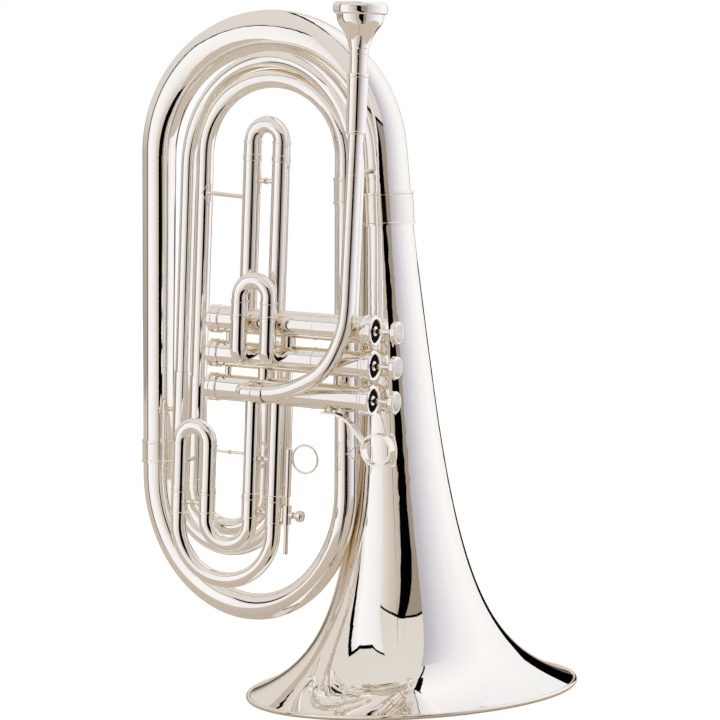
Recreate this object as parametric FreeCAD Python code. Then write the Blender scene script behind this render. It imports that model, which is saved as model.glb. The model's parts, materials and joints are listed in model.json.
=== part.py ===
import FreeCAD, Part
import math
import os

# Marching baritone horn, standing on its bell. Millimetres, +Z up along the bell axis, origin at
# the centre of the bell mouth on the ground. +X is the way the finger buttons point, and the
# valves, slides and mouthpipe lie on the -Y side of the bell.

V = FreeCAD.Vector
os.makedirs("parts", exist_ok=True)

# ---------------------------------------------------------------- driving dimensions
RIM_WIRE_CENTRE = 121.4        # the flare's edge is rolled round a wire ring of this radius
BELL_WALL = 0.9
BELL_TOP = 356.0               # where the bell meets the top bow
BELL_FLARE_SIZE = 1131.0       # the flare is SIZE / (height + START) ** POWER
BELL_FLARE_START = 27.0
BELL_FLARE_POWER = 0.66
BELL_NECK_FROM = 250.0         # above this height the neck narrows a little more
BELL_NECK_TAPER = 0.0195
RIM_WIRE_RADIUS = 1.8
RIM_FLAT = 0.25                # worn flat under the rim, which the horn stands on

BOW_RADIUS = 93.5              # centreline of the top bow
BOW_CENTRE_HEIGHT = 400.0
BOW_BELL_END = 20.6            # tube radii along the big tubing
BOW_LEFT_END = 12.9
LEFT_BRANCH_LOW = 11.6
BOTTOM_BOW_END = 8.5
INNER_BRANCH_TOP = 8.1
TUBE_WALL = 0.7
LEFT_LEAN = 4.3                # degrees that the left branch leans off the bell axis
LEFT_BRANCH_LENGTH = 243.0
BOTTOM_BOW_LEGS = 4.0          # straight length above each end of the bottom bow

INNER_BRANCH_LOW_POINT = V(-25.3, -39.35, 154.0)
INNER_BRANCH_TOP_POINT = V(-16.0, -28.0, 381.0)

VALVE_TILT = 6.0               # degrees that the valve section leans off the bell axis
VALVE_ORIGIN = V(18.7, 0.0, 269.9)   # its frame: face of the first top cap, on the plane Y = 0
VALVE_Y = -65.0                # plane of the three valves
FRONT_Y = -83.0                # plane of the mouthpipe and the second valve slide
VALVE_PITCH = 25.0
VALVES = (1, 2, 3)
CASING_RADIUS = 9.65
CASING_BORE = 8.5
CASING_END = -131.0
CASING_TOP = -2.7
PISTON_RADIUS = 8.45
PISTON_LOW = -110.5
PISTON_HIGH = -46.0
STEM_RADIUS = 2.0
BUTTON_LOW = 13.6
BUTTON_FACE = 18.8
CAP_RADIUS = 11.25
PORT_RADIUS = 5.2

SLIM_TUBE = 6.2                # outer radius of the small cylindrical tubing
SLIM_BORE = 5.6
OUTER_LEG_X = -187.0           # the two slim loops, in the valve frame
OUTER_LEG_Y = -10.0
INNER_LEG_X = -163.0
INNER_LEG_Y = -28.0
OUTER_RETURN_X = -99.7
INNER_RETURN_X = -104.0
OUTER_ARC_TOP = 190.6
INNER_ARC_TOP = 176.8
OUTER_BOW_LOW = -179.1
INNER_BOW_LOW = -160.4
RETURN_TOP = -30.0
DOWN_TUBE_X = -28.0            # outer loop's way back down into the first valve
DOWN_TUBE_Y = -48.9
DOWN_TUBE_PORT_X = -62.0
DOWN_TUBE_RADIUS = 6.0
DOWN_TUBE_BORE = 5.4
DOWN_TUBE_BEND = 9.0
PORT_BEND = 6.4

SLEEVE_TOP = -48.0             # tuning slide sleeves
SLEEVE_LOW = -128.6
LEG_FOOT = -56.0               # where the tubes above end inside those sleeves
TUNING_BORE = 6.25
TUNING_SLEEVE = 6.9
TUNING_LEGS = (
    (INNER_LEG_X, INNER_LEG_Y), (OUTER_LEG_X, OUTER_LEG_Y),
    (INNER_RETURN_X, INNER_LEG_Y), (OUTER_RETURN_X, OUTER_LEG_Y),
)
SLIDE_START = -129.0           # upper end of the moving bows of the tuning and third slides
SLIDE_INSERT = 48.0            # how far a tuning slide leg reaches into its sleeve
TUNING_COLLAR = 5.5
FIT = 0.05                     # radial running clearance of a slide in its sleeve
GAP = 0.03                     # clearance of a soldered ring round its tube

FIRST_LEGS_X = (-104.0, -80.6)
SECOND_LEGS_X = (-101.1, -77.6)
THIRD_OUTER_X = (-156.3, -77.4)
THIRD_INNER_X = (-132.7, -97.0)

THIRD_BORE = 5.3
THIRD_SLEEVE = 5.85
THIRD_LEG = 6.25               # outer radius of the third slide's moving legs
FIRST_SLEEVE = 6.45
HOLDER_Z = -139.5              # height of the clamp that holds the adjustable ring's rod
RING_ROD_X = -66.4
RING_ROD_RADIUS = 1.7
RING_CENTRE = (-53.2, -97.2)   # x and z in the valve frame
RING_OUTER = 10.9
RING_INNER = 9.3
HAND_RING = (7.3, -84.2)       # x and z in the valve frame
HAND_RING_BORE = 10.6
HAND_RING_OUTER = 11.8
HAND_RING_WIDTH = 8.0
HAND_RING_Y = -71.0

MOUTHPIPE_X = -13.2
MOUTHPIPE_START = 5.6          # its outer radius grows from here to MOUTHPIPE_END
MOUTHPIPE_END = 5.9
MOUTHPIPE_WALL = 0.6
MOUTHPIPE_BENDS = [80.0, 48.0, 80.0]
MOUTHPIPE_FOOT_X = -86.5       # where it meets the elbow into the third valve
MOUTHPIECE_TOP = 232.3
STAY_RADIUS = 1.7
RECEIVER_LOW = 140.0
RECEIVER_TOP = 182.7

# ---------------------------------------------------------------- the tilted valve frame
TILT = FreeCAD.Rotation(V(0, 1, 0), VALVE_TILT)
X = TILT.multVec(V(1, 0, 0))
Y = V(0, 1, 0)
Z = TILT.multVec(V(0, 0, 1))


def at(x, y, z):
    """A point given in the valve frame."""
    return VALVE_ORIGIN + X * x + Y * y + Z * z


def valve_z(number):
    return -VALVE_PITCH * (number - 1)


# ---------------------------------------------------------------- helpers
def save(name, *solids):
    """Write one node; several separate solids become one compound."""
    shape = solids[0] if len(solids) == 1 else Part.makeCompound(list(solids))
    if not shape.isValid():
        print("not valid:", name)
    shape.exportStep("parts/" + name + ".step")


def rod(start, end, radius):
    return Part.makeCylinder(radius, (end - start).Length, start, end - start)


def pipe(start, end, outer, inner):
    return rod(start, end, outer).cut(rod(start, end, inner))


def bent_wire(points, bends):
    """Straight runs joined by tangent arcs; bends holds one radius per inner point."""
    edges = []
    here = points[0]
    for index, bend in enumerate(bends):
        corner = points[index + 1]
        way_in = (corner - points[index]).normalize()
        way_out = (points[index + 2] - corner).normalize()
        half_turn = way_in.getAngle(way_out) / 2
        reach = bend * math.tan(half_turn)
        first = corner - way_in * reach
        last = corner + way_out * reach
        inward = (way_out - way_in).normalize()
        middle = corner + inward * (bend / math.cos(half_turn) - bend)
        if (first - here).Length > 0.001:
            edges.append(Part.LineSegment(here, first).toShape())
        edges.append(Part.Arc(first, middle, last).toShape())
        here = last
    if (points[-1] - here).Length > 0.001:
        edges.append(Part.LineSegment(here, points[-1]).toShape())
    return Part.Wire(edges)


def sweep(wire, radius):
    start = wire.OrderedEdges[0]
    ring = Part.Circle(start.valueAt(start.FirstParameter), start.tangentAt(start.FirstParameter), radius)
    return wire.makePipeShell([Part.Wire([ring.toShape()])], True, False)


def bent_tube(points, bends, outer, inner):
    wire = bent_wire(points, bends)
    return sweep(wire, outer).cut(sweep(wire, inner))


def bend_radius(first, second, way_in, way_out):
    """Largest equal bends that turn a leg across from first to second and back."""
    across = (second - first).normalize()
    half = (second - first).Length / 2
    one = half / math.tan(way_in.getAngle(across) / 2)
    two = half / math.tan(across.getAngle(way_out) / 2)
    return [one, two]


def u_bend(start, first, second, end):
    """Points and bend radii of a leg, a half-round bow and a second leg."""
    way_in = (first - start).normalize()
    way_out = (end - second).normalize()
    return [start, first, second, end], bend_radius(first, second, way_in, way_out)


def tapered_solid(wire, start_radius, end_radius, spacing=14.0):
    """Loft evenly spaced rings along a bent wire; the radius changes evenly from end to end."""
    count = round(wire.Length / spacing)
    step = wire.Length / count
    passed = 0.0
    rings = []
    for edge in wire.OrderedEdges:
        while len(rings) <= count and len(rings) * step <= passed + edge.Length + 0.001:
            share = (len(rings) * step - passed) / edge.Length
            place = edge.FirstParameter + (edge.LastParameter - edge.FirstParameter) * share
            along = edge.tangentAt(place)
            radius = start_radius + (end_radius - start_radius) * len(rings) / count
            ring = Part.Circle(V(0, 0, 0), V(0, 0, 1), radius).toShape()
            turn = FreeCAD.Rotation(Y, along.cross(Y), along, "ZXY")
            ring.Placement = FreeCAD.Placement(edge.valueAt(place), turn)
            rings.append(Part.Wire([ring]))
        passed += edge.Length
    return Part.makeLoft(rings, True, False)


def tapered_tube(wire, start_radius, end_radius, wall=TUBE_WALL):
    outside = tapered_solid(wire, start_radius, end_radius)
    return outside.cut(tapered_solid(wire, start_radius - wall, end_radius - wall))


def straight_taper(start, end, start_radius, end_radius, wall=TUBE_WALL):
    length = (end - start).Length
    outside = Part.makeCone(start_radius, end_radius, length, start, end - start)
    return outside.cut(Part.makeCone(start_radius - wall, end_radius - wall, length, start, end - start))


def turned(profile, base, direction):
    """Turn a closed outline of (radius, height) points about an axis through base."""
    points = [V(radius, 0, height) for radius, height in profile]
    face = Part.Face(Part.makePolygon(points + [points[0]]))
    solid = face.revolve(V(0, 0, 0), V(0, 0, 1), 360)
    solid.Placement = FreeCAD.Placement(base, FreeCAD.Rotation(V(0, 0, 1), direction))
    return solid


def sleeve(start, end, inner, outer, bead=0.45, bead_length=1.6):
    """A soldered sleeve with a small bead round each end."""
    length = (end - start).Length
    profile = [
        (inner, 0), (outer + bead, 0), (outer + bead, bead_length), (outer, bead_length + bead),
        (outer, length - bead_length - bead), (outer + bead, length - bead_length),
        (outer + bead, length), (inner, length),
    ]
    return turned(profile, start, end - start)


def flange(centre, along, outward, tube_radius, half_long=9.0, half_wide=5.0, thick=0.7):
    """A diamond plate wrapped on a tube whose axis passes through centre."""
    along = V(along).normalize()
    outward = (outward - along * outward.dot(along)).normalize()
    side = along.cross(outward)
    corners = [
        centre + along * half_long, centre + side * half_wide,
        centre - along * half_long, centre - side * half_wide,
    ]
    plate = Part.Face(Part.makePolygon(corners + [corners[0]])).extrude(outward * (tube_radius + 4))
    low = centre - along * (half_long + 1)
    high = centre + along * (half_long + 1)
    return plate.common(pipe(low, high, tube_radius + thick, tube_radius + GAP))


def brace(first, first_along, first_radius, second, second_along, second_radius, radius=STAY_RADIUS,
          flanges=(True, True)):
    """A stay between two tubes, with a diamond plate soldered on each."""
    body = rod(first, second, radius)
    for centre, along, tube_radius in ((first, first_along, first_radius),
                                       (second, second_along, second_radius)):
        reach = V(along).normalize() * (4 * tube_radius)
        body = body.cut(rod(centre - reach, centre + reach, tube_radius + GAP))
    if flanges[0]:
        body = body.fuse(flange(first, first_along, second - first, first_radius))
    if flanges[1]:
        body = body.fuse(flange(second, second_along, first - second, second_radius))
    return body.removeSplitter()


# ---------------------------------------------------------------- bell
def bell_radius(height):
    neck = BELL_NECK_TAPER * max(0.0, height - BELL_NECK_FROM)
    return BELL_FLARE_SIZE / (height + BELL_FLARE_START) ** BELL_FLARE_POWER - neck


def flat_face(edges):
    return Part.Face(Part.Wire(Part.sortEdges(edges)[0]))


def make_bell():
    """The bell's sheet is trimmed to the round rim wire that its edge is rolled over."""
    low = 1.9
    steps = 17
    heights = [low + (BELL_TOP - low) * (step / steps) ** 2.2 for step in range(steps + 1)]
    outside = []
    inside = []
    for height in heights:
        radius = bell_radius(height)
        slope = (bell_radius(height + 0.1) - radius) / 0.1
        size = math.hypot(1.0, slope)
        outside.append(V(radius, 0, height))
        inside.append(V(radius - BELL_WALL / size, 0, height + BELL_WALL * slope / size))
    outer_curve = Part.BSplineCurve()
    outer_curve.interpolate(outside)
    inner_curve = Part.BSplineCurve()
    inner_curve.interpolate(inside)
    rim = Part.LineSegment(outside[0], inside[0]).toShape()
    neck = Part.LineSegment(outside[-1], inside[-1]).toShape()
    sheet = flat_face([outer_curve.toShape(), neck, inner_curve.toShape(), rim])
    wire_centre = V(RIM_WIRE_CENTRE, 0, RIM_WIRE_RADIUS - RIM_FLAT)
    seat = Part.Circle(wire_centre, Y, RIM_WIRE_RADIUS + GAP).toShape()
    sheet = sheet.cut(Part.Face(Part.Wire([seat]))).Faces[0]
    save("bell", sheet.revolve(V(0, 0, 0), V(0, 0, 1), 360))
    half_flat = math.sqrt(RIM_WIRE_RADIUS ** 2 - (RIM_WIRE_RADIUS - RIM_FLAT) ** 2)
    first = V(RIM_WIRE_CENTRE - half_flat, 0, 0)
    last = V(RIM_WIRE_CENTRE + half_flat, 0, 0)
    over = Part.Arc(first, wire_centre + V(0, 0, RIM_WIRE_RADIUS), last).toShape()
    ring = flat_face([over, Part.LineSegment(last, first).toShape()])
    save("bell_rim_wire", ring.revolve(V(0, 0, 0), V(0, 0, 1), 360))
    save("bell_ferrule", sleeve(V(0, 0, 344.5), V(0, 0, 368.5), bell_radius(344.5) + 0.1, 21.9))


# ---------------------------------------------------------------- big tapered tubing
LEFT_DOWN = V(-math.sin(math.radians(LEFT_LEAN)), 0, -math.cos(math.radians(LEFT_LEAN)))
BOW_END_ANGLE = math.radians(180 - LEFT_LEAN)
LEFT_TOP = V(
    BOW_RADIUS * (math.cos(BOW_END_ANGLE) - 1), 0,
    BOW_CENTRE_HEIGHT + BOW_RADIUS * math.sin(BOW_END_ANGLE),
)
LEFT_LOW = LEFT_TOP + LEFT_DOWN * LEFT_BRANCH_LENGTH
INNER_UP = (INNER_BRANCH_TOP_POINT - INNER_BRANCH_LOW_POINT).normalize()


def left_point(height):
    """Point of the left branch's axis at a height."""
    return LEFT_TOP + LEFT_DOWN * ((LEFT_TOP.z - height) / -LEFT_DOWN.z)


def inner_point(height):
    """Point of the inner branch's axis at a height."""
    return INNER_BRANCH_LOW_POINT + INNER_UP * ((height - INNER_BRANCH_LOW_POINT.z) / INNER_UP.z)


def left_radius(height):
    share = (LEFT_TOP.z - height) / (LEFT_TOP.z - LEFT_LOW.z)
    return BOW_LEFT_END + (LEFT_BRANCH_LOW - BOW_LEFT_END) * share


def inner_radius(height):
    share = (height - INNER_BRANCH_LOW_POINT.z) / (INNER_BRANCH_TOP_POINT.z - INNER_BRANCH_LOW_POINT.z)
    return BOTTOM_BOW_END + (INNER_BRANCH_TOP - BOTTOM_BOW_END) * share


def make_big_tubing():
    low = V(0, 0, BELL_TOP)
    right = V(0, 0, BOW_CENTRE_HEIGHT)
    crown = V(-BOW_RADIUS, 0, BOW_CENTRE_HEIGHT + BOW_RADIUS)
    half = (BOW_END_ANGLE / 2)
    middle = V(BOW_RADIUS * (math.cos(half) - 1), 0, BOW_CENTRE_HEIGHT + BOW_RADIUS * math.sin(half))
    rise = Part.LineSegment(low, right).toShape()
    turn = Part.Arc(right, middle, LEFT_TOP).toShape()
    save("top_bow", tapered_tube(Part.Wire([rise, turn]), BOW_BELL_END, BOW_LEFT_END))
    save("left_branch", straight_taper(LEFT_TOP, LEFT_LOW, BOW_LEFT_END, LEFT_BRANCH_LOW))
    save("left_ferrule", sleeve(left_point(188.5), left_point(171.5), left_radius(171.5) + 0.15,
                                left_radius(171.5) + 0.8))
    drop = (INNER_BRANCH_LOW_POINT - LEFT_LOW).Length / 2 + BOTTOM_BOW_LEGS
    first = LEFT_LOW + LEFT_DOWN * drop
    second = INNER_BRANCH_LOW_POINT - INNER_UP * drop
    points, bends = u_bend(LEFT_LOW, first, second, INNER_BRANCH_LOW_POINT)
    save("bottom_bow", tapered_tube(bent_wire(points, bends), LEFT_BRANCH_LOW, BOTTOM_BOW_END))
    save("inner_branch", straight_taper(INNER_BRANCH_LOW_POINT, INNER_BRANCH_TOP_POINT,
                                        BOTTOM_BOW_END, INNER_BRANCH_TOP))
    save("inner_branch_ferrule", sleeve(inner_point(361.5), inner_point(380.5),
                                        inner_radius(361.5) + 0.05, inner_radius(361.5) + 0.6))


# ---------------------------------------------------------------- slim loops
def outer_loop_wire():
    """Centreline from the tuning slide, over the top and down into the first valve."""
    points = [
        at(OUTER_LEG_X, OUTER_LEG_Y, LEG_FOOT), at(OUTER_LEG_X, OUTER_LEG_Y, OUTER_ARC_TOP),
        at(DOWN_TUBE_X, DOWN_TUBE_Y, OUTER_ARC_TOP), at(DOWN_TUBE_X, DOWN_TUBE_Y, 0),
        at(DOWN_TUBE_PORT_X, DOWN_TUBE_Y, 0), at(DOWN_TUBE_PORT_X, VALVE_Y + CASING_BORE, 0),
    ]
    bow = bend_radius(points[1], points[2], Z, Z.negative())
    return bent_wire(points, bow + [DOWN_TUBE_BEND, PORT_BEND])


def make_slim_loops():
    top = INNER_BRANCH_TOP_POINT
    rise = (INNER_ARC_TOP - (top - VALVE_ORIGIN).dot(Z)) / INNER_UP.dot(Z)
    second = top + INNER_UP * rise
    first = at(INNER_LEG_X, INNER_LEG_Y, INNER_ARC_TOP)
    low = at(INNER_LEG_X, INNER_LEG_Y, LEG_FOOT)
    points, bends = u_bend(top, second, first, low)
    wire = bent_wire(points, bends)
    arc_wire = Part.Wire([edge for edge in wire.OrderedEdges[:-1]])
    leg_start = wire.OrderedEdges[-1].valueAt(wire.OrderedEdges[-1].FirstParameter)
    save("inner_arc", tapered_tube(arc_wire, INNER_BRANCH_TOP, SLIM_TUBE))
    save("inner_leg", pipe(leg_start, low, SLIM_TUBE, SLIM_BORE))

    wire = outer_loop_wire()
    whole = sweep(wire, DOWN_TUBE_RADIUS).cut(sweep(wire, DOWN_TUBE_BORE))
    save("outer_loop", whole.cut(casing_core(1)))


def make_return_bend():
    points, bends = u_bend(
        at(INNER_RETURN_X, INNER_LEG_Y, LEG_FOOT), at(INNER_RETURN_X, INNER_LEG_Y, RETURN_TOP + 9.2),
        at(OUTER_RETURN_X, OUTER_LEG_Y, RETURN_TOP + 9.2), at(OUTER_RETURN_X, OUTER_LEG_Y, LEG_FOOT),
    )
    save("return_bend", bent_tube(points, bends, SLIM_TUBE, SLIM_BORE))


def slide_sleeve(x, y, low, high, bore, outer, bead_at_low=True):
    """Fixed outer leg of a slide, beaded round its open mouth."""
    start, end = (low, high) if bead_at_low else (high, low)
    length = abs(high - low)
    direction = Z if end > start else Z.negative()
    profile = [(bore, 0), (outer + 0.5, 0), (outer + 0.5, 2.2), (outer, 2.6), (outer, length), (bore, length)]
    return turned(profile, at(x, y, start), direction)


def make_tuning_slide():
    legs = []
    for x, y in TUNING_LEGS:
        legs.append(slide_sleeve(x, y, SLEEVE_LOW, SLEEVE_TOP, TUNING_BORE, TUNING_SLEEVE))
    save("tuning_slide_sleeves", *legs)
    solids = []
    deep = SLIDE_START + SLIDE_INSERT + 1
    for left, right, y, low in ((INNER_LEG_X, INNER_RETURN_X, INNER_LEG_Y, INNER_BOW_LOW),
                                (OUTER_LEG_X, OUTER_RETURN_X, OUTER_LEG_Y, OUTER_BOW_LOW)):
        points, bends = u_bend(at(left, y, SLIDE_START), at(left, y, low), at(right, y, low),
                               at(right, y, SLIDE_START))
        crook = sweep(bent_wire(points, bends), SLIM_TUBE + 0.2)
        for x in (left, right):
            collar_end = at(x, y, SLIDE_START - TUNING_COLLAR)
            crook = crook.fuse(rod(at(x, y, SLIDE_START), collar_end, TUNING_SLEEVE))
            crook = crook.fuse(rod(collar_end, at(x, y, SLIDE_START + SLIDE_INSERT), TUNING_BORE - FIT))
        points = [at(left, y, deep), at(left, y, low), at(right, y, low), at(right, y, deep)]
        crook = crook.cut(sweep(bent_wire(points, bends), SLIM_BORE))
        solids.append(crook.removeSplitter())
    save("main_tuning_slide", *solids)
    height = SLIDE_START - 3.0
    stays = []
    for first, second in ((TUNING_LEGS[1], TUNING_LEGS[0]), (TUNING_LEGS[2], TUNING_LEGS[3])):
        stays.append(brace(at(first[0], first[1], height), Z, TUNING_SLEEVE,
                           at(second[0], second[1], height), Z, TUNING_SLEEVE, 2.0, (False, False)))
    save("tuning_slide_stays", *stays)


# ---------------------------------------------------------------- valves
def casing_core(number):
    """The space a casing fills, cut out of each tube that ends on it."""
    z = valve_z(number)
    return rod(at(CASING_END - 5, VALVE_Y, z), at(2, VALVE_Y, z), CASING_RADIUS + GAP)


def port(x, number, direction, radius=PORT_RADIUS):
    centre = at(x, VALVE_Y, valve_z(number))
    return rod(centre, centre + direction * (CASING_RADIUS + 2), radius)


def casing_ports(number):
    down = Z.negative()
    front = Y.negative()
    ports = []
    if number == 1:
        ports += [port(x, 1, Z) for x in FIRST_LEGS_X]
        ports += [port(DOWN_TUBE_PORT_X, 1, Y), port(-70, 1, down, 4.4)]
    if number == 2:
        ports += [port(x, 2, front) for x in SECOND_LEGS_X]
        ports += [port(-70, 2, Z, 4.4), port(-88, 2, down, 4.4)]
    if number == 3:
        ports += [port(x, 3, down, 4.9) for x in (THIRD_OUTER_X[1], THIRD_INNER_X[1])]
        ports += [port(-99, 3, front), port(-88, 3, Z, 4.4)]
    return ports


def make_valve(number):
    z = valve_z(number)
    name = "_" + str(number)
    base = at(0, VALVE_Y, z)
    casing = turned([
        (CASING_BORE, CASING_END), (CASING_RADIUS - 0.3, CASING_END), (CASING_RADIUS - 0.3, -124.0),
        (CASING_RADIUS, -123.7), (CASING_RADIUS, -48.4), (CASING_RADIUS + 0.35, -48.1),
        (CASING_RADIUS + 0.35, -46.9), (CASING_RADIUS, -46.6), (CASING_RADIUS, -9.4),
        (CASING_RADIUS - 0.3, -9.1), (CASING_RADIUS - 0.3, CASING_TOP), (CASING_BORE, CASING_TOP),
    ], base, X)
    for opening in casing_ports(number):
        casing = casing.cut(opening)
    save("valve_casing" + name, casing)

    piston = turned([
        (0, PISTON_LOW), (5.6, PISTON_LOW), (5.6, PISTON_LOW + 2), (7.2, PISTON_LOW + 2),
        (7.2, PISTON_LOW), (PISTON_RADIUS, PISTON_LOW), (PISTON_RADIUS, PISTON_HIGH - 0.6),
        (PISTON_RADIUS - 0.6, PISTON_HIGH), (STEM_RADIUS + GAP, PISTON_HIGH),
        (STEM_RADIUS + GAP, PISTON_HIGH - 6), (0, PISTON_HIGH - 6),
    ], base, X)
    for x, across in ((-101, Z), (-88, Y), (-75, Z), (-62, Y)):
        middle = at(x, VALVE_Y, z)
        piston = piston.cut(rod(middle - across * 10, middle + across * 10, 4.6))
    save("piston" + name, piston)

    stem = turned([
        (0, PISTON_HIGH - 6), (STEM_RADIUS, PISTON_HIGH - 6), (STEM_RADIUS, PISTON_HIGH + 0.1),
        (5.5, PISTON_HIGH + 0.1), (5.5, PISTON_HIGH + 1.6), (STEM_RADIUS, PISTON_HIGH + 1.6),
        (STEM_RADIUS, BUTTON_LOW - 0.8), (3.0, BUTTON_LOW - 0.8), (3.4, BUTTON_LOW),
        (7.4, BUTTON_LOW), (8.2, BUTTON_LOW + 0.8), (8.2, BUTTON_FACE - 1.4), (7.5, BUTTON_FACE - 0.6),
        (6.6, BUTTON_FACE - 0.6), (6.6, BUTTON_FACE - 1.6), (0, BUTTON_FACE - 1.6),
    ], base, X)
    save("finger_button" + name, stem)
    save("button_inlay" + name, turned([
        (0, BUTTON_FACE - 1.6), (6.55, BUTTON_FACE - 1.6), (6.55, BUTTON_FACE - 0.6),
        (5.6, BUTTON_FACE - 0.25), (3.6, BUTTON_FACE - 0.05), (0, BUTTON_FACE),
    ], base, X))

    hole = STEM_RADIUS + 0.08
    save("top_cap" + name, turned([
        (hole, CASING_TOP + 0.1), (8.4, CASING_TOP + 0.1), (CASING_RADIUS - 0.27, CASING_TOP + 0.1),
        (CASING_RADIUS - 0.27, -9.0), (CASING_RADIUS + 0.1, -9.0), (CAP_RADIUS, -8.2),
        (CAP_RADIUS, -6.6), (CAP_RADIUS - 0.6, -6.1), (CAP_RADIUS - 0.6, -4.4), (CAP_RADIUS, -3.9),
        (CAP_RADIUS, -0.9), (CAP_RADIUS - 0.9, 0), (8.9, 0), (8.2, -0.7), (8.2, -1.5),
        (3.6, -1.5), (3.6, -0.5), (3.2, -0.2), (hole, -0.2),
    ], base, X))
    end = -133.3
    save("bottom_cap" + name, turned([
        (0, end), (3.4, end), (3.8, end + 0.9), (7.2, end + 0.9), (7.8, end), (9.3, end),
        (10.5, end + 1.0), (10.5, end + 3.2), (9.9, end + 3.7), (9.9, end + 4.7), (10.5, end + 5.2),
        (10.5, end + 8.4), (9.7, end + 9.1), (CASING_RADIUS - 0.27, end + 9.1),
        (CASING_RADIUS - 0.27, CASING_END - 0.1), (0, CASING_END - 0.1),
    ], base, X))

    spring_low = CASING_END + 0.45
    height = PISTON_LOW - spring_low - 0.5
    helix = Part.makeHelix(height / 5.5, height, 6.4)
    wire_ring = Part.Circle(V(6.4, 0, 0), V(0, 1, 0), 0.4).toShape()
    coil = Part.Wire(helix.Edges).makePipeShell([Part.Wire([wire_ring])], True, True)
    coil.Placement = FreeCAD.Placement(at(spring_low, VALVE_Y, z), FreeCAD.Rotation(V(0, 0, 1), X))
    save("valve_spring" + name, coil)


def make_top_felts():
    outline = [(3.7, -1.45), (8.1, -1.45), (8.1, -0.55), (7.7, -0.3), (4.0, -0.3), (3.7, -0.5)]
    save("top_cap_felts", *[turned(outline, at(0, VALVE_Y, valve_z(valve)), X) for valve in VALVES])


def make_casing_links():
    """Short air crossings and posts that join the three casings."""
    links = []
    for upper, x in ((1, -70), (2, -88)):
        top = at(x, VALVE_Y, valve_z(upper))
        low = at(x, VALVE_Y, valve_z(upper + 1))
        link = pipe(top, low, 5.4, 4.4)
        post = rod(at(-118.5, VALVE_Y, valve_z(upper)), at(-118.5, VALVE_Y, valve_z(upper + 1)), 2.4)
        front = rod(at(-30, VALVE_Y, valve_z(upper)), at(-30, VALVE_Y, valve_z(upper + 1)), 2.4)
        for solid in (link, post, front):
            links.append(solid.cut(casing_core(upper)).cut(casing_core(upper + 1)))
    save("casing_links", *links)


# ---------------------------------------------------------------- valve slides
def slide_crook(legs, y, start, low, sleeve_bore, ferrule, tube_radius, ferrule_length, insert, upward):
    """Moving half of a slide: bow, two end sleeves and two inner legs."""
    way = 1 if upward else -1
    left, right = legs
    points, bends = u_bend(at(left, y, start), at(left, y, low), at(right, y, low), at(right, y, start))
    solid = sweep(bent_wire(points, bends), tube_radius)
    for x in legs:
        near = at(x, y, start)
        collar = at(x, y, start + way * ferrule_length)
        solid = solid.fuse(turned([
            (0, 0), (ferrule + 0.4, 0), (ferrule + 0.4, 1.3), (ferrule, 1.7), (ferrule, ferrule_length - 1.7),
            (ferrule + 0.4, ferrule_length - 1.3), (ferrule + 0.4, ferrule_length), (0, ferrule_length),
        ], near, collar - near))
        solid = solid.fuse(rod(collar, at(x, y, start - way * insert), sleeve_bore - FIT))
    deep = start - way * (insert + 1)
    points = [at(left, y, deep), at(left, y, low), at(right, y, low), at(right, y, deep)]
    return solid.cut(sweep(bent_wire(points, bends), sleeve_bore - FIT - 0.55)).removeSplitter()


def make_first_slide():
    sleeves = []
    for x in FIRST_LEGS_X:
        tube = slide_sleeve(x, VALVE_Y, 0, 119.6, 5.9, FIRST_SLEEVE, bead_at_low=False)
        sleeves.append(tube.cut(casing_core(1)))
    save("first_slide_sleeves", *sleeves)
    crook = slide_crook(FIRST_LEGS_X, VALVE_Y, 120.0, 143.6, 5.9, FIRST_SLEEVE, 6.1, 11.5, 92, True)
    save("first_valve_slide", crook)


def make_second_slide():
    z = valve_z(2)
    sleeves = []
    for x in SECOND_LEGS_X:
        points = [at(x, FRONT_Y, 4.4), at(x, FRONT_Y, z), at(x, VALVE_Y - CASING_BORE, z)]
        outer = sweep(bent_wire(points, [6.6]), 6.2).fuse(rod(at(x, FRONT_Y, 4.4), at(x, FRONT_Y, 2.2), 6.7))
        inner = sweep(bent_wire(points, [6.6]), 5.6)
        sleeves.append(outer.cut(inner).cut(casing_core(2)).removeSplitter())
    save("second_slide_sleeves", *sleeves)
    crook = slide_crook(SECOND_LEGS_X, FRONT_Y, 4.8, 31.4, 5.6, 6.3, 6.0, 12.0, 17, True)
    save("second_valve_slide", crook)


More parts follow.
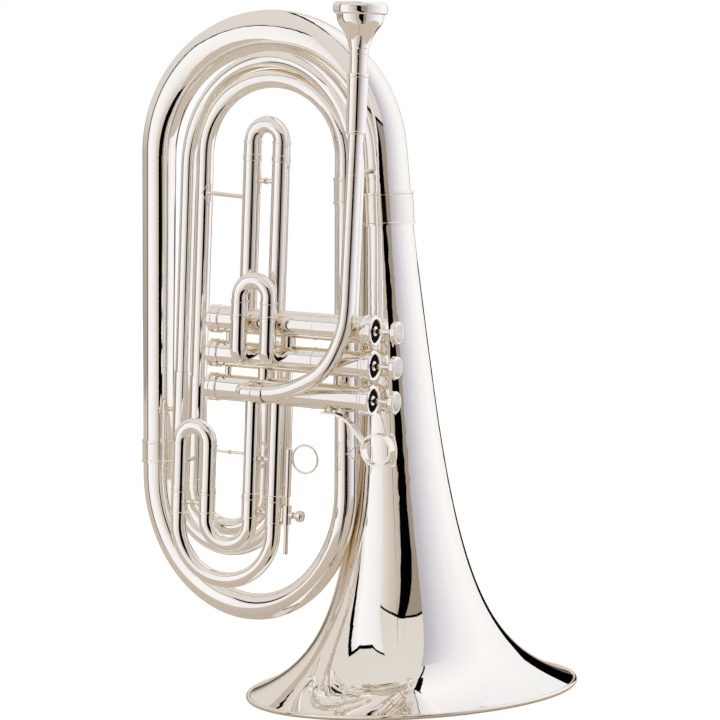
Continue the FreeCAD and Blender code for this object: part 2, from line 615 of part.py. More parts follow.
def make_third_slide():
    sleeves = []
    for x in (THIRD_OUTER_X[1], THIRD_INNER_X[1]):
        tube = slide_sleeve(x, VALVE_Y, SLEEVE_LOW, valve_z(3), THIRD_BORE, THIRD_SLEEVE)
        sleeves.append(tube.cut(casing_core(3)))
    save("third_slide_sleeves", *sleeves)
    left, right = THIRD_OUTER_X[0], THIRD_INNER_X[0]
    top = -81.0
    collar = -93.4
    points, bends = u_bend(at(left, VALVE_Y, SLEEVE_LOW), at(left, VALVE_Y, top),
                           at(right, VALVE_Y, top), at(right, VALVE_Y, SLEEVE_LOW))
    tube = sweep(bent_wire(points, bends), THIRD_SLEEVE)
    for x in (left, right):
        for height in (collar, SLEEVE_LOW + 2.2):
            tube = tube.fuse(rod(at(x, VALVE_Y, height), at(x, VALVE_Y, height - 2.2), THIRD_SLEEVE + 0.5))
    tube = tube.cut(sweep(bent_wire(points, bends), THIRD_BORE))
    save("third_slide_crossover", tube.removeSplitter())
    bows = []
    for legs, low, ferrule_length in ((THIRD_INNER_X, -166.5, 16.5), (THIRD_OUTER_X, -193.2, 18.5)):
        bows.append(slide_crook(legs, VALVE_Y, SLIDE_START, low, THIRD_BORE, THIRD_LEG, 5.75,
                                ferrule_length, 34, False))
    save("third_valve_slide", *bows)
    save("third_slide_stays",
         stay(THIRD_INNER_X[1], THIRD_OUTER_X[1], HOLDER_Z, THIRD_LEG, STAY_RADIUS, 4.0),
         stay(THIRD_OUTER_X[0], THIRD_INNER_X[0], HOLDER_Z + 1.5, THIRD_LEG, STAY_RADIUS, 6.0))


def stay(left, right, z, tube_radius, radius=STAY_RADIUS, plate=0.0):
    """A turned stay between two parallel legs of the valve plane; plate is half its foot's length."""
    first = at(left, VALVE_Y, z)
    second = at(right, VALVE_Y, z)
    body = brace(first, Z, tube_radius, second, Z, tube_radius, radius, (False, False))
    width = (second - first).Length - 2 * tube_radius
    middle = first + X * (tube_radius + width / 2)
    knob = min(width / 2 - 0.4, 1.6)
    swell = turned([(0, -knob), (radius + 0.5, -knob * 0.6), (radius + 0.9, 0), (radius + 0.5, knob * 0.6),
                    (0, knob)], middle, X)
    body = body.fuse(swell)
    if plate:
        body = body.fuse(flange(first, Z, X, tube_radius, plate, 4.6, 0.6))
    return body.removeSplitter()


# ---------------------------------------------------------------- adjustable ring on the third slide
def make_slide_ring():
    x = RING_ROD_X
    clamp = at(x, VALVE_Y, HOLDER_Z)
    leg = at(THIRD_OUTER_X[1], VALVE_Y, HOLDER_Z)
    block = rod(clamp + Z * 7, clamp - Z * 7, 3.4)
    web = Part.makeBox(5.0, 3.0, 10.0, V(-5.9, -1.5, -5.0))
    web.Placement = FreeCAD.Placement(clamp, TILT)
    boss = rod(clamp, clamp + X * 5.6, 2.6)
    holder = block.fuse(web).fuse(boss)
    holder = holder.cut(rod(clamp - Z * 10, clamp + Z * 10, RING_ROD_RADIUS + 0.08))
    holder = holder.cut(rod(clamp, clamp + X * 8, 1.55))
    holder = holder.cut(rod(leg - Z * 10, leg + Z * 10, THIRD_LEG + GAP))
    plate = flange(leg + Z, Z, X, THIRD_LEG, 7.5, 4.2, 0.6)
    save("ring_holder", holder.fuse(plate).removeSplitter())

    slim = rod(at(x, VALVE_Y, -168.6), at(x, VALVE_Y, -126.0), RING_ROD_RADIUS)
    thick = rod(at(x, VALVE_Y, -126.0), at(x, VALVE_Y, -91.0), 2.5)
    ring_x, ring_z = RING_CENTRE
    middle = at(ring_x, VALVE_Y, ring_z)
    hoop = Part.makeTorus((RING_OUTER + RING_INNER) / 2, (RING_OUTER - RING_INNER) / 2 + 0.1, middle, Y)
    hole = rod(middle - Y * 4, middle + Y * 4, RING_INNER)
    save("slide_finger_ring", slim.fuse(thick).fuse(hoop).cut(hole).removeSplitter())
    save("ring_thumb_screw", turned([
        (0, 2.0), (1.5, 2.0), (1.5, 6.6), (2.2, 6.6), (2.2, 8.0), (3.9, 8.6), (4.3, 9.4), (4.3, 12.2),
        (3.8, 13.0), (0, 13.3),
    ], clamp, X))


# ---------------------------------------------------------------- fixed hand ring
def make_hand_ring():
    """A band on a flat strap that runs under the third casing."""
    x, z = HAND_RING
    y = HAND_RING_Y
    low = at(x, y - HAND_RING_WIDTH / 2, z)
    high = at(x, y + HAND_RING_WIDTH / 2, z)
    band = rod(low, high, HAND_RING_OUTER)
    strap_start = at(-38, y, -61.2)
    path = bent_wire([strap_start, at(-20, y, -61.2), at(-3.2, y, -80.0)], [22.0])
    corners = [strap_start - Y * 3.4 - Z, strap_start + Y * 3.4 - Z,
               strap_start + Y * 3.4 + Z * 0.8, strap_start - Y * 3.4 + Z * 0.8]
    whole = band.fuse(path.makePipeShell([Part.makePolygon(corners + [corners[0]])], True, False))
    for foot_x in (-33, -24):
        whole = whole.fuse(rod(at(foot_x, y, -61.3), at(foot_x, VALVE_Y, valve_z(3)), 3.0))
    whole = whole.cut(rod(low - Y, high + Y, HAND_RING_BORE)).cut(casing_core(3))
    save("hand_ring", whole.removeSplitter())


# ---------------------------------------------------------------- mouthpipe and mouthpiece
def mouthpipe_wire():
    """Centreline from inside the receiver down to the elbow of the third valve."""
    points = [
        at(MOUTHPIPE_X, FRONT_Y, RECEIVER_LOW + 12), at(-15.3, FRONT_Y, -2), at(-32.9, FRONT_Y, -32.5),
        at(-66, FRONT_Y, valve_z(3)), at(MOUTHPIPE_FOOT_X, FRONT_Y, valve_z(3)),
    ]
    return bent_wire(points, MOUTHPIPE_BENDS)


def mouthpipe_room():
    """The space the mouthpipe fills, cut out of each piece that holds it."""
    return tapered_solid(mouthpipe_wire(), MOUTHPIPE_START + GAP, MOUTHPIPE_END + GAP)


def make_mouthpipe():
    z = valve_z(3)
    room = mouthpipe_room()
    save("mouthpipe", tapered_tube(mouthpipe_wire(), MOUTHPIPE_START, MOUTHPIPE_END, MOUTHPIPE_WALL))
    elbow = [at(MOUTHPIPE_FOOT_X, FRONT_Y, z), at(-99, FRONT_Y, z), at(-99, VALVE_Y - CASING_BORE, z)]
    bend = bent_tube(elbow, [6.6], MOUTHPIPE_END, MOUTHPIPE_END - MOUTHPIPE_WALL)
    save("mouthpipe_elbow", bend.cut(casing_core(3)))
    ferrule = sleeve(at(-79.0, FRONT_Y, z), at(-89.0, FRONT_Y, z), MOUTHPIPE_END + 0.1, 6.5)
    save("mouthpipe_ferrule", ferrule.cut(room))

    base = at(MOUTHPIPE_X, FRONT_Y, 0)
    low = RECEIVER_LOW
    top = RECEIVER_TOP
    receiver = turned([
        (5.75, low), (7.0, low), (7.25, low + 0.5), (7.25, low + 1.8), (7.0, low + 2.2),
        (7.6, top - 3), (7.9, top - 2.6), (7.9, top - 0.5), (7.6, top), (6.45, top),
        (6.2, low + 17), (5.75, low + 16),
    ], base, Z)
    save("mouthpiece_receiver", receiver.cut(room))
    save("mouthpiece", turned([
        (6.1, 160.0), (6.35, 182.7), (6.4, 190.8), (6.6, 191.2), (6.6, 195.8), (7.0, 196.2),
        (7.0, 199.3), (7.3, 200.5), (8.0, 203.5), (9.3, 207.2), (11.2, 210.9), (13.2, 213.9),
        (15.0, 216.2), (16.4, 219.4), (17.1, 223.4), (18.8, 224.3), (19.3, 225.3), (19.3, 229.4),
        (18.6, 231.3), (16.8, MOUTHPIECE_TOP), (14.6, MOUTHPIECE_TOP - 0.2), (13.2, 230.7),
        (12.9, 227.5), (12.2, 220.5), (9.4, 215.0), (5.2, 209.5), (3.0, 205.0), (3.3, 196.0),
        (3.7, 160.0),
    ], base, Z))


# ---------------------------------------------------------------- stays between the branches
def make_stays():
    height = 212.5
    outer_x = OUTER_LEG_X
    outer_z = (height - VALVE_ORIGIN.z + X.z * -outer_x) / Z.z
    outer_leg = at(outer_x, OUTER_LEG_Y, outer_z)
    left_stay = brace(left_point(height), LEFT_DOWN, left_radius(height) + 0.1, outer_leg, Z, TUNING_SLEEVE,
                      STAY_RADIUS, (False, True))
    left_foot = flange(left_point(height), LEFT_DOWN, V(0.77, -0.64, 0), left_radius(height) + 0.1)
    left_stay = left_stay.fuse(left_foot).removeSplitter()

    leg_stay = brace(at(INNER_LEG_X, INNER_LEG_Y, 90), Z, SLIM_TUBE,
                     at(FIRST_LEGS_X[0], VALVE_Y, 90), Z, FIRST_SLEEVE, 1.6)

    pipe_axis = at(MOUTHPIPE_X - 0.3, FRONT_Y, 128)
    down_axis = at(DOWN_TUBE_X, DOWN_TUBE_Y, 128)
    pipe_stay = brace(pipe_axis, Z, MOUTHPIPE_START + 0.1, down_axis, Z, DOWN_TUBE_RADIUS)
    pipe_stay = pipe_stay.cut(mouthpipe_room()).cut(sweep(outer_loop_wire(), DOWN_TUBE_RADIUS + GAP))
    save("mouthpipe_stay", pipe_stay)

    back = at(DOWN_TUBE_X, DOWN_TUBE_Y, 112)
    neck = V(0, 0, back.z)
    neck_stay = brace(back, Z, DOWN_TUBE_RADIUS, neck, V(0, 0, 1), BOW_BELL_END - 0.6, 1.9, (True, False))
    neck_stay = neck_stay.cut(sweep(outer_loop_wire(), DOWN_TUBE_RADIUS + GAP))
    height = 180.0
    side = inner_point(height)
    inner_stay = brace(side, INNER_UP, inner_radius(height) + 0.1, V(0, 0, height), V(0, 0, 1),
                       bell_radius(height) + 0.5, 2.2, (False, False))
    inner_foot = flange(side, INNER_UP, X, inner_radius(height) + 0.1, 7.0, 8.0, 0.6)
    inner_stay = inner_stay.fuse(inner_foot).removeSplitter()

    casing_side = at(-14, VALVE_Y, valve_z(3))
    bell_side = V(casing_side.x, 0, casing_side.z)
    reach = bell_radius(casing_side.z) + 0.5
    strut = rod(casing_side, bell_side, 2.6)
    strut = strut.cut(casing_core(3)).cut(rod(V(0, 0, 150), V(0, 0, 300), reach))
    shell = pipe(V(0, 0, 200), V(0, 0, 240), reach + 1.4, reach)
    front = rod(V(casing_side.x, -80, casing_side.z), V(casing_side.x, 0, casing_side.z), 7.0)
    plate = shell.common(front)
    save("branch_stays", left_stay, inner_stay, neck_stay)
    save("valve_bell_stay", strut.fuse(plate).removeSplitter())

    ties = [
        leg_stay,
        stay(THIRD_INNER_X[1], THIRD_OUTER_X[1], -100.3, THIRD_SLEEVE, STAY_RADIUS, 8.0),
        stay(THIRD_INNER_X[0], THIRD_INNER_X[1], -97.6, THIRD_SLEEVE, 1.1),
        stay(FIRST_LEGS_X[0], FIRST_LEGS_X[1], 102.7, FIRST_SLEEVE, STAY_RADIUS, 9.0),
    ]
    for x, y, other_x in ((INNER_RETURN_X, INNER_LEG_Y, THIRD_INNER_X[1]),
                          (INNER_LEG_X, INNER_LEG_Y, THIRD_OUTER_X[0])):
        ties.append(brace(at(x, y, -110), Z, TUNING_SLEEVE, at(other_x, VALVE_Y, -110), Z, THIRD_SLEEVE,
                          1.5, (False, False)))
    ties.append(brace(at(OUTER_LEG_X, OUTER_LEG_Y, -100), Z, TUNING_SLEEVE,
                      at(INNER_LEG_X, INNER_LEG_Y, -100), Z, TUNING_SLEEVE, STAY_RADIUS, (False, False)))
    save("leg_stays", *ties)


make_bell()
make_big_tubing()
make_slim_loops()
make_return_bend()
make_tuning_slide()
for valve in VALVES:
    make_valve(valve)
make_top_felts()
make_casing_links()
make_first_slide()
make_second_slide()
make_third_slide()
make_slide_ring()
make_hand_ring()
make_mouthpipe()
make_stays()
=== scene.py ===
import bpy
import json
import math
from mathutils import Matrix, Vector


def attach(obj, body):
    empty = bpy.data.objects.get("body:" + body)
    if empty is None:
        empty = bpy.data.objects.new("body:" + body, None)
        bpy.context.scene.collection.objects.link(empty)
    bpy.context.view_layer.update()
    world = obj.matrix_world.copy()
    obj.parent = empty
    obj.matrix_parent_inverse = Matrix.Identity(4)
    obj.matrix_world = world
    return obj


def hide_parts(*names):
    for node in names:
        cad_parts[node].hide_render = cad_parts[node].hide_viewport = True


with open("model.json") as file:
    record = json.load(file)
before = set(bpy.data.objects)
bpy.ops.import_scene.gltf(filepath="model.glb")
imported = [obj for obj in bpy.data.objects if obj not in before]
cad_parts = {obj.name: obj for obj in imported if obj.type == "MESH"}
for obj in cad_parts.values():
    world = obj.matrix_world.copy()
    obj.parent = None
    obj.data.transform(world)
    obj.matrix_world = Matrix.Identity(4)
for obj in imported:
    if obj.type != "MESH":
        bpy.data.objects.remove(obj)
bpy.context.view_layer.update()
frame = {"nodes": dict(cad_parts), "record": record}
RECORD = frame["record"]
SLOT_OF_NODE = {part["node"]: part["material_slot"] for part in RECORD["subparts"]}

# The camera stands 25 degrees round from -Y towards +X. It looks a little left of the bell's
# axis and a little down, and leans slightly. Lengths are in metres and turns in radians.
VIEW_TURN = math.radians(25.0)
CAMERA_DISTANCE = 2.0
CAMERA_HEIGHT = 0.36491
CAMERA_YAW = 0.0120467
CAMERA_PITCH = 0.0593205
CAMERA_ROLL = -0.0580596
LENS_MM = 135.56
TO_RIGHT = Vector((math.cos(VIEW_TURN), math.sin(VIEW_TURN), 0.0))
TO_CAMERA = Vector((math.sin(VIEW_TURN), -math.cos(VIEW_TURN), 0.0))
UP = Vector((0.0, 0.0, 1.0))

# Studio: heights of the edges of the cards that the horn reflects, and the floor's extent.
CARD_FOOT = -0.3
FRONT_CARD_TOP = 0.66
FLAG_TOP_NEAR = 0.20
FAR_EDGE_TOP = 0.32
LEFT_CARD_TOP = 1.0
RIGHT_CARD_TOP = 1.6
FLOOR_HALF_WIDTH = 6.0
FLOOR_DROP = 0.0003

# Metal: the reach of the painted shade that warms and darkens tight gaps between parts, and the depth and
# coarseness of the surface marks.
GAP_SHADE_REACH = 0.012
GAP_SHADE_TINT = (0.80, 0.66, 0.42, 1.0)
SMUDGES_PER_METRE = 26.0
GRAIN_DEPTH = 0.00005

# The valves and the mouthpipe lie in a frame that leans from the bell's; it is in millimetres.
VALVE_TILT = math.radians(6.0)
VALVE_X = Vector((math.cos(VALVE_TILT), 0.0, -math.sin(VALVE_TILT)))
VALVE_Z = Vector((math.sin(VALVE_TILT), 0.0, math.cos(VALVE_TILT)))
VALVE_ORIGIN = Vector((18.7, 0.0, 269.9))
MOUTHPIPE_X = -13.2
MOUTHPIPE_Y = -83.0


# ---------------------------------------------------------------- camera
def link(thing):
    bpy.context.scene.collection.objects.link(thing)


def make_camera():
    turn = VIEW_TURN + CAMERA_YAW
    along = math.cos(CAMERA_PITCH)
    forward = Vector((-math.sin(turn) * along, math.cos(turn) * along, -math.sin(CAMERA_PITCH)))
    sideways = forward.cross(UP).normalized()
    above = sideways.cross(forward)
    right = math.cos(CAMERA_ROLL) * sideways + math.sin(CAMERA_ROLL) * above
    above = math.cos(CAMERA_ROLL) * above - math.sin(CAMERA_ROLL) * sideways
    camera = bpy.data.objects.new("camera", bpy.data.cameras.new("camera"))
    link(camera)
    turned = Matrix((right, above, -forward)).transposed().to_4x4()
    camera.matrix_world = Matrix.Translation(TO_CAMERA * CAMERA_DISTANCE + UP * CAMERA_HEIGHT) @ turned
    camera.data.sensor_width = 36.0
    camera.data.lens = LENS_MM
    camera.data.clip_end = 20.0
    bpy.context.scene.camera = camera


# ---------------------------------------------------------------- node helpers
class Graph:
    """Short calls for building one material or world."""

    def __init__(self, tree):
        self.tree = tree
        tree.nodes.clear()

    def add(self, kind, inputs=None, **settings):
        node = self.tree.nodes.new(kind)
        for name, value in settings.items():
            setattr(node, name, value)
        for name, value in (inputs or {}).items():
            socket = node.inputs[name]
            if isinstance(value, bpy.types.NodeSocket):
                self.tree.links.new(value, socket)
            else:
                socket.default_value = value
        return node

    def calculate(self, operation, first, second):
        return self.add("ShaderNodeMath", {0: first, 1: second}, operation=operation).outputs[0]

    def ramp(self, value, stops):
        """Colours at (position, colour) stops, joined by straight blends."""
        node = self.add("ShaderNodeValToRGB", {"Fac": value})
        while len(node.color_ramp.elements) < len(stops):
            node.color_ramp.elements.new(0.5)
        for element, (position, colour) in zip(node.color_ramp.elements, stops):
            element.position = position
            element.color = (*colour, 1.0)
        return node.outputs["Color"]

    def span(self, value, low, high, new_low, new_high):
        """The value moved from the range low to high into the range new_low to new_high."""
        node = self.add("ShaderNodeMapRange", {
            "Value": value, "From Min": low, "From Max": high, "To Min": new_low, "To Max": new_high,
        })
        return node.outputs["Result"]

    def noise(self, where, scale, detail, **inputs):
        inputs.update({"Vector": where, "Scale": scale, "Detail": detail})
        return self.add("ShaderNodeTexNoise", inputs).outputs["Fac"]

    def relief(self, height, strength, depth):
        node = self.add("ShaderNodeBump", {"Height": height, "Strength": strength, "Distance": depth})
        return node.outputs["Normal"]

    def by_camera_ray(self, other, camera):
        """One shader for reflections and light, another for what the camera sees directly."""
        seen = self.add("ShaderNodeLightPath").outputs["Is Camera Ray"]
        return self.add("ShaderNodeMixShader", {0: seen, 1: other.outputs[0], 2: camera.outputs[0]})

    def mix(self, share, first, second, blend="MIX"):
        node = self.add("ShaderNodeMix", data_type="RGBA", blend_type=blend)
        for socket, value in ((node.inputs[0], share), (node.inputs[6], first), (node.inputs[7], second)):
            if isinstance(value, bpy.types.NodeSocket):
                self.tree.links.new(value, socket)
            else:
                socket.default_value = value
        return node.outputs[2]


def new_material(name):
    material = bpy.data.materials.new(name)
    material.use_nodes = True
    return material, Graph(material.node_tree)


def shown(red, green, blue):
    """A display colour, 0 to 255, as the linear colour that nodes take."""
    def linear(part):
        part /= 255.0
        return part / 12.92 if part <= 0.04045 else ((part + 0.055) / 1.055) ** 2.4
    return (linear(red), linear(green), linear(blue))


# ---------------------------------------------------------------- studio
def make_world():
    world = bpy.data.worlds.new("studio")
    bpy.context.scene.world = world
    world.use_nodes = True
    graph = Graph(world.node_tree)
    direction = graph.add("ShaderNodeTexCoord").outputs["Generated"]
    height = graph.add("ShaderNodeSeparateXYZ", {"Vector": direction}).outputs["Z"]
    room = graph.ramp(graph.span(height, -1.0, 1.0, 0.0, 1.0), [
        (0.0, shown(186, 172, 154)), (0.47, shown(158, 145, 128)),
        (0.6, shown(222, 214, 206)), (1.0, shown(226, 220, 214)),
    ])
    # A dark patch low behind the horn gives the slim tubes their thin dark outlines.
    facing = graph.add("ShaderNodeVectorMath", {0: direction, 1: TO_CAMERA}, operation="DOT_PRODUCT")
    behind = graph.span(facing.outputs["Value"], -0.84, -0.93, 0.0, 0.9)
    behind = graph.calculate("MULTIPLY", behind, graph.span(height, 0.05, 0.13, 1.0, 0.0))
    room = graph.mix(behind, room, (*shown(70, 60, 50), 1.0))
    reflected = graph.add("ShaderNodeBackground", {"Color": room, "Strength": 1.0})
    backdrop = graph.add("ShaderNodeBackground", {"Color": (1.0, 1.0, 1.0, 1.0), "Strength": 1.0})
    graph.add("ShaderNodeOutputWorld", {"Surface": graph.by_camera_ray(reflected, backdrop).outputs[0]})


def place(side, front, height):
    """A point of the studio: to the camera's right, towards the camera, above the floor."""
    return TO_RIGHT * side + TO_CAMERA * front + UP * height


def level(plan, height):
    """The points of a plan line, all at one height."""
    return [(side, front, height) for side, front in plan]


def make_card(name, low_edge, high_edge, stops, black_share=0.0):
    """A light card between two edges of (side, front, height) points.

    The stops colour it along its edges, and black_share of its height turns black at the high edge.
    """
    count = len(low_edge)
    points = [place(*point) for point in low_edge + high_edge]
    faces = [(i, i + 1, i + 1 + count, i + count) for i in range(count - 1)]
    mesh = bpy.data.meshes.new(name)
    mesh.from_pydata(points, [], faces)
    run = [0.0]
    for start, end in zip(low_edge, low_edge[1:]):
        run.append(run[-1] + math.dist(start[:2], end[:2]))
    layer = mesh.uv_layers.new(name="card")
    for loop in mesh.loops:
        index = loop.vertex_index
        layer.data[loop.index].uv = (run[index % count] / run[-1], float(index >= count))
    card = bpy.data.objects.new(name, mesh)
    light_card(card, stops, black_share)


def light_card(card, stops, black_share):
    """Make a card glow in its colours, seen only in reflections."""
    link(card)
    material, graph = new_material(card.name)
    place_on = graph.add("ShaderNodeUVMap", uv_map="card").outputs["UV"]
    axes = graph.add("ShaderNodeSeparateXYZ", {"Vector": place_on})
    colour = graph.ramp(axes.outputs["X"], stops)
    if black_share:
        inside = graph.calculate("LESS_THAN", axes.outputs["Y"], 1.0 - black_share)
        colour = graph.mix(inside, (0.0, 0.0, 0.0, 1.0), colour)
    light = graph.add("ShaderNodeEmission", {"Color": colour, "Strength": 1.0})
    graph.add("ShaderNodeOutputMaterial", {"Surface": light.outputs[0]})
    card.data.materials.append(material)
    card.visible_camera = False
    card.visible_shadow = False
    card.visible_diffuse = False


BLACK = (0.0, 0.0, 0.0)
WHITE = shown(255, 253, 252)
ALL_BLACK = [(0.0, BLACK), (1.0, BLACK)]


def make_cards():
    beige_left = shown(190, 179, 166)
    beige_right = shown(158, 145, 130)
    front_low = level([(-0.22, 0.25), (0.12, 0.25)], CARD_FOOT)
    front_high = level([(-0.70, 0.80), (0.384, 0.80)], FRONT_CARD_TOP)
    make_card("front_panel", front_low, front_high, [
        (0.0, shown(236, 231, 227)), (0.2, shown(214, 204, 194)), (0.415, beige_left), (0.416, BLACK),
        (0.60, BLACK), (0.601, beige_right), (0.93, beige_right), (1.0, shown(170, 160, 152)),
    ], 0.05)
    # Black flags that stand edge-on to the bell, so that only the tubes beside it show them wide.
    for side, near, far in (("left", -0.043, -0.235), ("right", -0.0135, -0.074)):
        make_card("flag_" + side, level([(near, 0.17), (far, 0.80)], CARD_FOOT),
                  [(near, 0.17, FLAG_TOP_NEAR), (far, 0.80, FRONT_CARD_TOP)], ALL_BLACK)
    left_plan = [(-0.98, -0.04), (-0.95, 0.25), (-0.72, 0.46), (-0.40, 0.46)]
    make_card("left_card", level(left_plan, CARD_FOOT), level(left_plan, LEFT_CARD_TOP), [
        (0.0, BLACK), (0.10, BLACK), (0.105, shown(236, 232, 232)), (0.3, WHITE),
        (0.7, shown(248, 245, 246)), (1.0, shown(238, 234, 232)),
    ], 0.06)
    right_plan = [(0.20, 0.46), (0.62, 0.44), (0.90, 0.2), (0.95, -0.3), (0.80, -0.85), (0.44, -1.25)]
    make_card("right_card", level(right_plan, CARD_FOOT), level(right_plan, RIGHT_CARD_TOP), [
        (0.0, shown(186, 182, 190)), (0.1, shown(212, 209, 216)), (0.3, shown(240, 238, 243)),
        (0.55, WHITE), (1.0, shown(244, 243, 244)),
    ])
    # A black card low behind the right side draws the dark line along the flare's far edge.
    far_plan = [(0.50, -0.86), (0.28, -0.98)]
    make_card("far_edge", level(far_plan, CARD_FOOT), level(far_plan, FAR_EDGE_TOP), ALL_BLACK)
    inner_plan = [(0.32, 0.62), (0.22, 0.35), (0.10, 0.1), (0.0, -0.3), (-0.05, -0.72), (-0.08, -1.25)]
    make_card("overhead_card", level(right_plan, RIGHT_CARD_TOP), level(inner_plan, RIGHT_CARD_TOP), [
        (0.0, shown(214, 210, 216)), (0.3, shown(240, 238, 242)), (0.55, WHITE),
        (1.0, shown(240, 238, 240)),
    ], 0.10)


def make_floor():
    """A floor that the camera sees pale and the reflections see warm."""
    half = FLOOR_HALF_WIDTH
    corners = [(-half, -half, 0), (half, -half, 0), (half, half, 0), (-half, half, 0)]
    mesh = bpy.data.meshes.new("floor")
    mesh.from_pydata(corners, [], [(0, 1, 2, 3)])
    floor = bpy.data.objects.new("floor", mesh)
    link(floor)
    floor.location.z = -FLOOR_DROP
    material, graph = new_material("floor")
    pale = graph.add("ShaderNodeBsdfDiffuse", {"Color": (0.80, 0.79, 0.78, 1.0)})
    glow = graph.add("ShaderNodeEmission", {"Color": (1.0, 1.0, 1.0, 1.0), "Strength": 0.62})
    lit = graph.add("ShaderNodeAddShader", {0: pale.outputs[0], 1: glow.outputs[0]})
    warm = graph.add("ShaderNodeBsdfDiffuse", {"Color": (0.80, 0.74, 0.67, 1.0)})
    graph.add("ShaderNodeOutputMaterial", {"Surface": graph.by_camera_ray(warm, lit).outputs[0]})
    mesh.materials.append(material)


# ---------------------------------------------------------------- materials
def metal(name, colour, shade, roughness, smudge, bump, shade_in_gaps=0.5, grain=900.0, stretch=(1, 1, 1)):
    """Plated or turned metal: smudged gloss, a fine surface, and painted shade that gives tight gaps a
    warmer, darker tone.

    The grain is in marks per metre, and stretch draws it out across a turned piece.
    """
    material, graph = new_material(name)
    where = graph.add("ShaderNodeTexCoord").outputs["Object"]
    scaled = graph.add("ShaderNodeMapping", {"Vector": where, "Scale": stretch}).outputs["Vector"]
    cloud = graph.noise(where, SMUDGES_PER_METRE, 4.0)
    fine = graph.noise(scaled, grain, 3.0)
    # Painted shade: ambient occlusion darkens and warms the colour in tight gaps between parts.
    gap = graph.add("ShaderNodeAmbientOcclusion", {"Distance": GAP_SHADE_REACH}, samples=6).outputs["AO"]
    painted_shade_share = graph.span(gap, 0.15, 0.75, shade_in_gaps, 0.0)
    tint = graph.mix(graph.span(cloud, 0.35, 0.75, 0.0, 0.45), (*colour, 1.0), (*shade, 1.0))
    tint = graph.mix(painted_shade_share, tint, GAP_SHADE_TINT, "MULTIPLY")
    gloss = graph.calculate("ADD", graph.span(cloud, 0.3, 0.7, roughness, roughness + smudge),
                            graph.span(fine, 0.3, 0.7, 0.0, smudge * 0.3))
    surface = graph.add("ShaderNodeBsdfPrincipled", {
        "Base Color": tint, "Metallic": 1.0, "Roughness": gloss,
        "Normal": graph.relief(fine, bump, GRAIN_DEPTH),
    })
    graph.add("ShaderNodeOutputMaterial", {"Surface": surface.outputs[0]})
    return material


def felt():
    material, graph = new_material("felt")
    where = graph.add("ShaderNodeTexCoord").outputs["Object"]
    fibre = graph.noise(where, 2600.0, 5.0)
    colour = graph.ramp(fibre, [(0.3, (0.003, 0.002, 0.002)), (0.75, (0.018, 0.012, 0.011))])
    surface = graph.add("ShaderNodeBsdfPrincipled", {
        "Base Color": colour, "Roughness": 1.0, "Specular IOR Level": 0.1,
        "Normal": graph.relief(fibre, 0.6, 0.0002),
    })
    graph.add("ShaderNodeOutputMaterial", {"Surface": surface.outputs[0]})
    return material


def pearl():
    material, graph = new_material("pearl")
    where = graph.add("ShaderNodeTexCoord").outputs["Object"]
    bands = graph.noise(where, 260.0, 5.0, Distortion=1.6)
    colour = graph.ramp(bands, [
        (0.3, (0.62, 0.62, 0.60)), (0.5, (0.82, 0.81, 0.79)), (0.7, (0.90, 0.89, 0.90)),
    ])
    surface = graph.add("ShaderNodeBsdfPrincipled", {
        "Base Color": colour, "Roughness": graph.span(bands, 0.3, 0.7, 0.16, 0.26), "Metallic": 0.35,
        "Coat Weight": 0.6, "Coat Roughness": 0.06,
    })
    graph.add("ShaderNodeOutputMaterial", {"Surface": surface.outputs[0]})
    return material


def make_materials():
    cool, warm = (0.97, 0.957, 0.932), (0.95, 0.925, 0.88)
    # Each metal's share of painted shade in tight gaps, where given, replaces the default of 0.5.
    metals = {
        "silver_bell": dict(colour=cool, shade=(0.965, 0.95, 0.92), roughness=0.015, smudge=0.015,
                            bump=0.01, shade_in_gaps=0.35),
        "silver_tube": dict(colour=cool, shade=warm, roughness=0.025, smudge=0.025, bump=0.015),
        "silver_fitting": dict(colour=warm, shade=(0.91, 0.86, 0.77), roughness=0.05, smudge=0.05,
                               bump=0.05, shade_in_gaps=0.7),
        "silver_valve": dict(colour=cool, shade=warm, roughness=0.04, smudge=0.03, bump=0.03,
                             shade_in_gaps=0.7, grain=1500.0, stretch=(6, 1, 1)),
        "silver_mouthpiece": dict(colour=cool, shade=(0.94, 0.92, 0.88), roughness=0.02, smudge=0.015,
                                  bump=0.01, shade_in_gaps=0.4),
        "piston_nickel": dict(colour=(0.80, 0.77, 0.71), shade=(0.72, 0.68, 0.60), roughness=0.16,
                              smudge=0.06, bump=0.08, grain=1800.0, stretch=(9, 1, 1)),
        "spring_steel": dict(colour=(0.62, 0.61, 0.58), shade=(0.5, 0.48, 0.44), roughness=0.25,
                             smudge=0.08, bump=0.1),
    }
    materials = {name: metal(name, **look) for name, look in metals.items()}
    materials["felt"] = felt()
    materials["pearl"] = pearl()
    return materials


# ---------------------------------------------------------------- mouthpiece
def at(x, y, z):
    """A point of the tilted valve frame, given in millimetres."""
    return (VALVE_ORIGIN + VALVE_X * x + Vector((0.0, y, 0.0)) + VALVE_Z * z) * 0.001


def rounded(outline, steps=6):
    """A smooth closed line (Catmull-Rom) through an outline; a point given twice stays sharp."""
    line = []
    count = len(outline)
    for index in range(count):
        before, here, there, after = (Vector(outline[(index + shift) % count]) for shift in (-1, 0, 1, 2))
        for step in range(steps):
            t = step / steps
            line.append(0.5 * (2 * here + (there - before) * t
                               + (2 * before - 5 * here + 4 * there - after) * t ** 2
                               + (3 * here - before - 3 * there + after) * t ** 3))
    return line


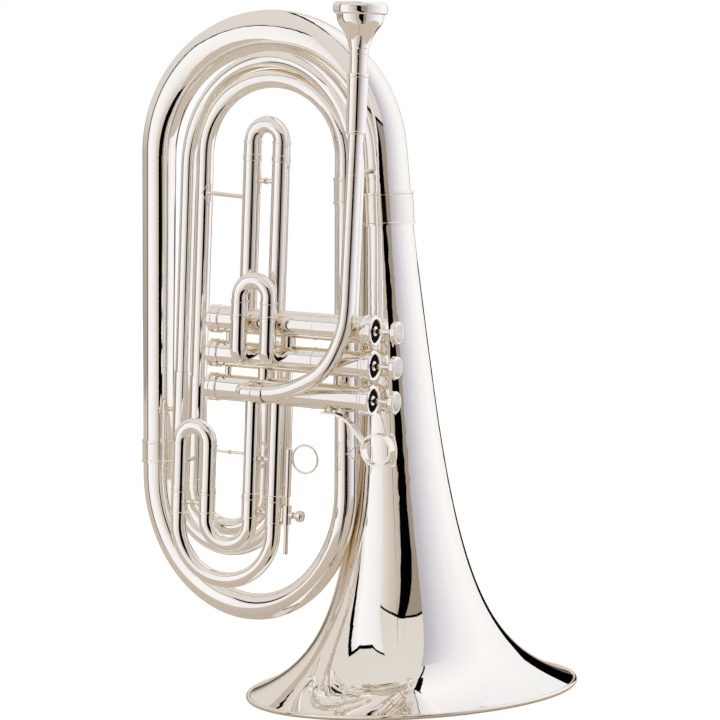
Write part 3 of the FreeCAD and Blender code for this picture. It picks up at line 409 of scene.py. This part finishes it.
def lathe(name, outline, base, axis, segments=160):
    """Turn a closed (radius, height) outline, in millimetres, about an axis through base."""
    turn = UP.rotation_difference(axis).to_matrix()
    points = []
    for index in range(segments):
        angle = 2 * math.pi * index / segments
        for radius, height in outline:
            local = Vector((radius * math.cos(angle), radius * math.sin(angle), height)) * 0.001
            points.append(base + turn @ local)
    count = len(outline)
    faces = []
    for index in range(segments):
        onward = (index + 1) % segments
        for step in range(count):
            after = (step + 1) % count
            faces.append((index * count + step, onward * count + step,
                          onward * count + after, index * count + after))
    mesh = bpy.data.meshes.new(name)
    mesh.from_pydata(points, [], faces)
    mesh.shade_smooth()
    piece = bpy.data.objects.new(name, mesh)
    link(piece)
    return piece


def make_mouthpiece():
    """The mouthpiece drawn round and smooth: shank, cup's outside, rim, cup's inside and bore."""
    outline = [
        (6.1, 160.0), (6.1, 160.0), (6.35, 182.7), (6.4, 190.7), (6.4, 190.9), (6.6, 191.2), (6.6, 195.7),
        (6.6, 195.9), (6.95, 196.2), (7.0, 197.5), (6.95, 199.2), (7.3, 200.5), (8.0, 203.5), (9.3, 207.2),
        (11.2, 210.9), (13.2, 213.8), (13.6, 214.3), (15.0, 216.3), (16.3, 219.4), (17.0, 223.2),
        (17.3, 223.8), (18.7, 224.3), (19.2, 225.3), (19.25, 227.4), (19.2, 229.6), (18.6, 231.1),
        (17.4, 232.0), (15.8, 232.2), (14.4, 231.8), (13.4, 230.7), (13.0, 229.0), (12.85, 226.5),
        (12.2, 220.5), (9.4, 215.0), (5.2, 209.5), (3.0, 205.0), (3.3, 196.0), (3.7, 160.0), (3.7, 160.0),
    ]
    piece = lathe("mouthpiece_turned", rounded(outline), at(MOUTHPIPE_X, MOUTHPIPE_Y, 0.0), VALVE_Z)
    paint(piece, "silver_mouthpiece")
    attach(piece, "mouthpiece_body")
    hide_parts("mouthpiece")


def paint(piece, slot):
    piece.data.materials.clear()
    piece.data.materials.append(MATERIALS[slot])


# ---------------------------------------------------------------- build
bpy.context.scene.view_settings.view_transform = "Standard"
bpy.context.scene.cycles.glossy_bounces = 10
make_camera()
make_world()
make_cards()
make_floor()
MATERIALS = make_materials()
for node, piece in frame["nodes"].items():
    paint(piece, SLOT_OF_NODE[node])
make_mouthpiece()
